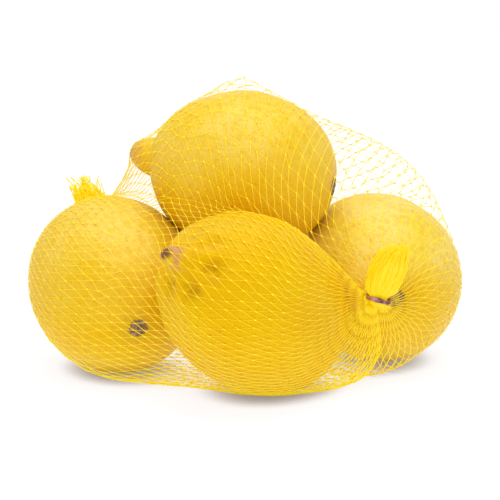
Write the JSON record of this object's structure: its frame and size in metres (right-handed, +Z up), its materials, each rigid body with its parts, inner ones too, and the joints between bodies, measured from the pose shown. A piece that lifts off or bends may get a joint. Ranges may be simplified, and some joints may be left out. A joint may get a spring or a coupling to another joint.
{
  "type": "net of lemons",
  "caption": "Loose yellow plastic net holding a small heap of whole lemons, gathered into a metal clip with a tuft at each end; stands on a floor, shelf or worktop.",
  "frame": {"origin": "on the ground, under the middle of the bounding box", "axes": "+X to the right as seen from the front, +Y away from the viewer, +Z up; the front is the side with the lowest lemon nearest the viewer and the front clip at its right"},
  "size_m": [0.1716, 0.143, 0.1093],
  "materials": {
    "net": "bright yellow extruded polyethylene netting, fine strands with a small knot at each crossing",
    "lemon_skin": null,
    "clip": "crimped bare metal band",
    "stem": "dry brown stem buttons and nipple tips"
  },
  "bodies": {
    "root": {"net_with_lemons": "net", "front_clip": "clip", "back_clip": "clip"}
  },
  "joints": []
}
